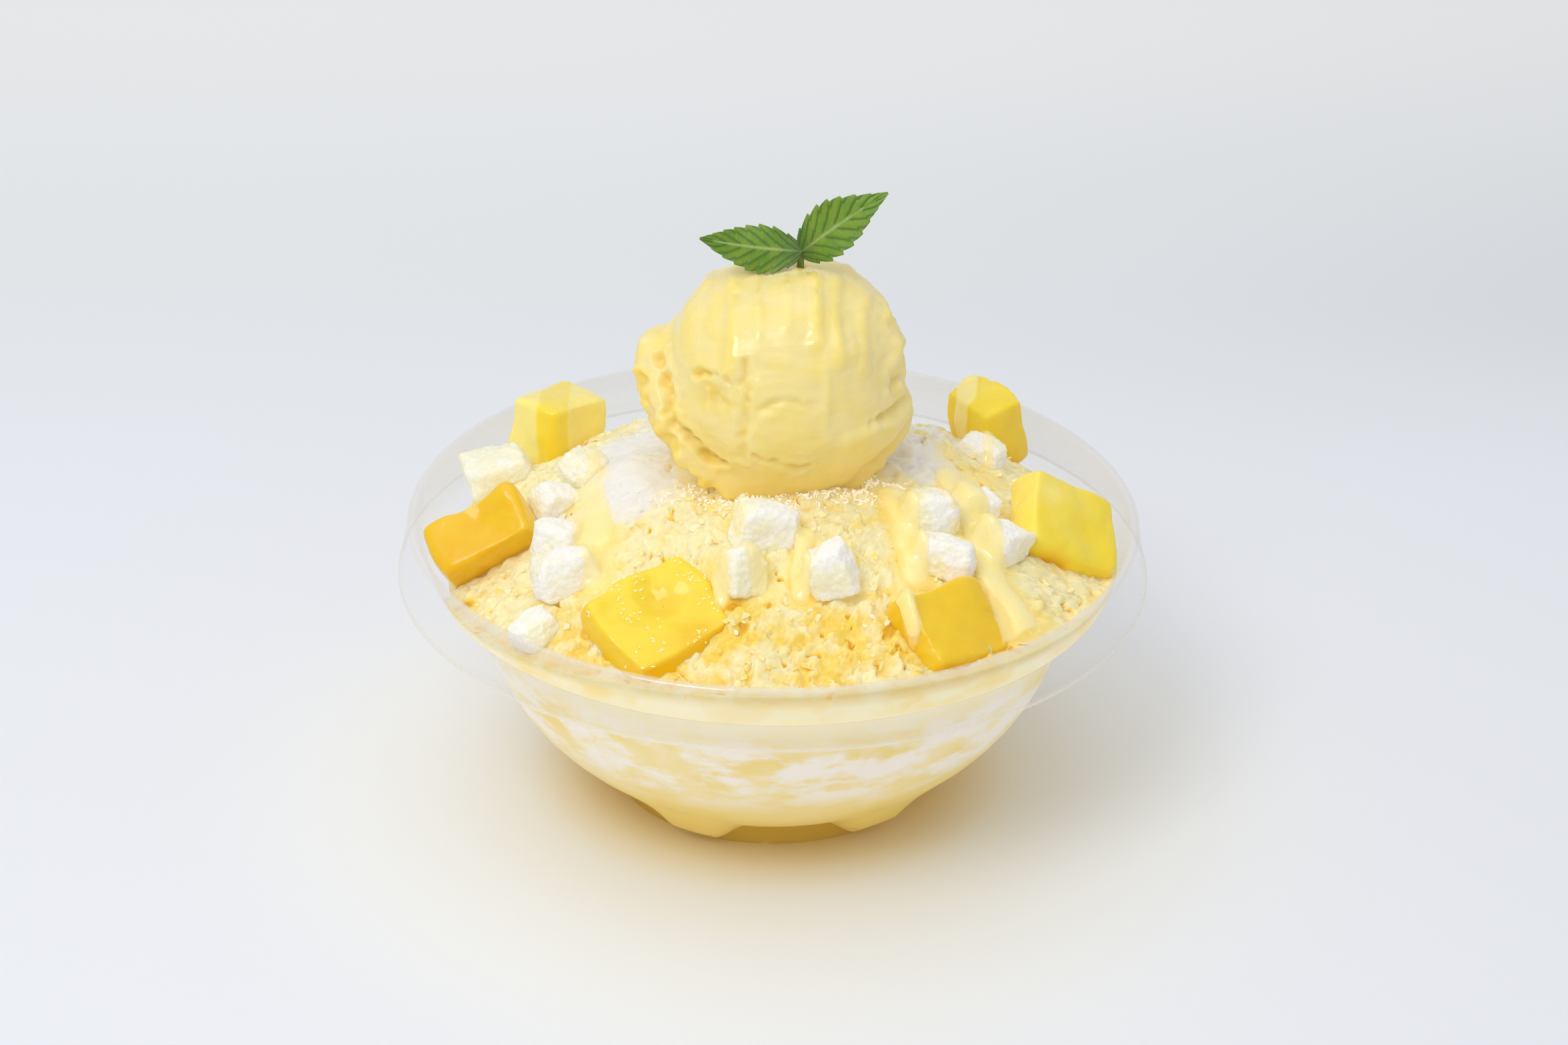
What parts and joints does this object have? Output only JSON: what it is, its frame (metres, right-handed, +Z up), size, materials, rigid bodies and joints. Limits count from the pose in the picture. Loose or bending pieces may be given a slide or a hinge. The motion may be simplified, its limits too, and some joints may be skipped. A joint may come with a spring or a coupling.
{
  "type": "shaved ice dessert",
  "caption": "Mango shaved ice in a clear plastic bowl with a flared rim, topped with an ice cream scoop, a mint sprig, mango cubes and powdered rice cakes.",
  "frame": {"origin": "on the table under the middle of the bowl", "axes": "+Z up; -Y towards the guest, the side where most of the toppings lie; +X to the guest's right"},
  "size_m": [0.1898, 0.1898, 0.1608],
  "materials": {
    "clear_plastic": "clear thermoformed plastic, glossy",
    "ice": "wet shaved ice soaked with mango milk",
    "ice_cream": "smooth mango ice cream with glossy sauce runs",
    "mint": "fresh green leaf with pale veins",
    "mango": "wet ripe mango flesh",
    "rice_cake": "soft rice cake dusted with starch"
  },
  "bodies": {
    "root": {"bowl": "clear_plastic", "shaved_ice": "ice", "ice_cream_scoop": "ice_cream", "mint_sprig": "mint", "mango_cube_front_left": "mango", "mango_cube_left": "mango", "mango_cube_right": "mango", "mango_cube_front_right": "mango", "mango_cube_back_left": "mango", "mango_cube_back_right": "mango", "mochi_1": "rice_cake", "mochi_2": "rice_cake", "mochi_3": "rice_cake", "mochi_4": "rice_cake", "mochi_5": "rice_cake", "mochi_6": "rice_cake", "mochi_7": "rice_cake", "mochi_8": "rice_cake", "mochi_9": "rice_cake", "mochi_10": "rice_cake", "mochi_11": "rice_cake", "mochi_12": "rice_cake", "mochi_13": "rice_cake", "mochi_14": "rice_cake"}
  },
  "joints": []
}
